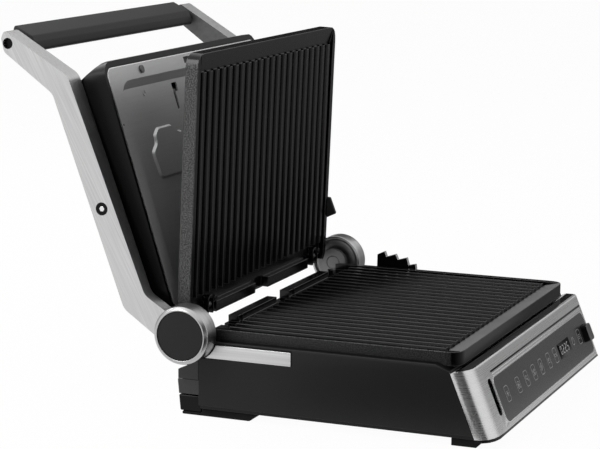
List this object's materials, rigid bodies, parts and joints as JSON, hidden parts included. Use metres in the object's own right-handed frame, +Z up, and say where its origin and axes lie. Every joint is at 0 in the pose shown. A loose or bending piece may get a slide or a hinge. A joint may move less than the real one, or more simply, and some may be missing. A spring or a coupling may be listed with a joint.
{
  "type": "electric contact grill",
  "caption": "Countertop contact grill: hinged lid on a U-shaped handle frame, floating head, tip-out ribbed upper plate, lift-out lower plate, drip tray and sloped control panel.",
  "frame": {"origin": "on the table, under the middle of the box round the whole grill with its lid open as pictured", "axes": "+X to the grill's right seen from its front, -Y out of the control front, +Y to the hinge side, +Z up"},
  "size_m": [0.351, 0.4164, 0.3076],
  "materials": {
    "black_plastic": "fine moulded texture, satin black",
    "grey_plastic": "satin dark grey moulding",
    "grip_plastic": "soft satin black",
    "arm_metal": "brushed",
    "steel_frame": "brushed across",
    "steel_trim": "brushed along",
    "dark_steel": "plain zinc and sheathed tube",
    "cast_plate": "die cast, black non-stick coating",
    "pan_aluminium": "pressed sheet, dull",
    "control_glass": "smooth dark panel with printed signs",
    "circuit_board": "solder-resist green",
    "rubber": "matt black"
  },
  "bodies": {
    "base": {"base_tub": "black_plastic", "plate_bed": "black_plastic", "side_cover_left": "black_plastic", "side_cover_right": "black_plastic", "side_trim_left": "steel_trim", "side_trim_right": "steel_trim", "rear_cover": "black_plastic", "drip_chute": "black_plastic", "cord_block": "black_plastic", "cord_gland": "rubber", "terminal_block": "grey_plastic", "front_frame": "steel_frame", "control_glass": "control_glass", "display_module": "grey_plastic", "panel_carrier": "black_plastic", "control_board": "circuit_board", "foot_front_left": "rubber", "foot_front_right": "rubber", "foot_rear_left": "rubber", "foot_rear_right": "rubber", "base_reflector": "pan_aluminium", "lower_heater": "dark_steel", "lower_thermostat": "dark_steel", "hinge_bracket_left": "black_plastic", "hinge_bracket_right": "black_plastic", "hinge_pin_left": "dark_steel", "hinge_pin_right": "dark_steel", "rack_guide": "dark_steel"},
    "handle_frame": {"arm_left": "arm_metal", "arm_right": "arm_metal", "hinge_drum_left": "arm_metal", "hinge_drum_right": "arm_metal", "drum_cap_left": "grey_plastic", "drum_cap_right": "grey_plastic", "hinge_bush_left": "grey_plastic", "hinge_bush_right": "grey_plastic", "handle_grip": "grip_plastic", "handle_bolt_left": "dark_steel", "handle_bolt_right": "dark_steel", "pivot_screw_left": "dark_steel", "pivot_screw_right": "dark_steel"},
    "lid_head": {"lid_housing": "black_plastic", "lid_pan": "pan_aluminium", "upper_heater": "dark_steel", "upper_thermostat": "dark_steel", "plate_catch": "grey_plastic", "plate_hook_left": "dark_steel", "plate_hook_right": "dark_steel", "height_stop": "grey_plastic", "pan_screw_1": "dark_steel", "pan_screw_2": "dark_steel", "pan_screw_3": "dark_steel", "pivot_bush_left": "grey_plastic", "pivot_bush_right": "grey_plastic"},
    "upper_grill_plate": {"upper_plate": "cast_plate"},
    "lower_grill_plate": {"lower_plate": "cast_plate"},
    "tray": {"drip_tray": "black_plastic"},
    "slider": {"height_slider": "black_plastic"},
    "button": {"power_button": "grey_plastic"}
  },
  "joints": [
    {"name": "lid_hinge", "type": "hinge", "parent": "base", "child": "handle_frame", "pos_m": [0, 0.04568, 0.0706], "axis": [-1, 0, 0], "range_deg": [-107.5, 0]},
    {"name": "lid_float", "type": "hinge", "parent": "handle_frame", "child": "lid_head", "pos_m": [0, 0.1165, 0.16686], "axis": [1, 0, 0], "range_deg": [0, 6]},
    {"name": "upper_plate_tip", "type": "hinge", "parent": "lid_head", "child": "upper_grill_plate", "pos_m": [0, 0.05416, 0.08156], "axis": [1, 0, 0], "range_deg": [-20, 0]},
    {"name": "lower_plate_lift", "type": "slide", "parent": "base", "child": "lower_grill_plate", "axis": [0, 0, 1], "range_m": [0, 0.06]},
    {"name": "drip_tray_slide", "type": "slide", "parent": "base", "child": "tray", "axis": [0, 1, 0], "range_m": [0, 0.065]},
    {"name": "height_slider_slide", "type": "slide", "parent": "base", "child": "slider", "axis": [0, -1, 0], "range_m": [0, 0.03]},
    {"name": "power_button_press", "type": "slide", "parent": "base", "child": "button", "axis": [0, 0.9263, -0.3769], "range_m": [0, 0.0025], "stiffness_N_per_m": 400}
  ],
  "couplings": [
    {"joint": "upper_plate_tip", "follows": "lid_hinge", "ratio": 0.186}
  ]
}
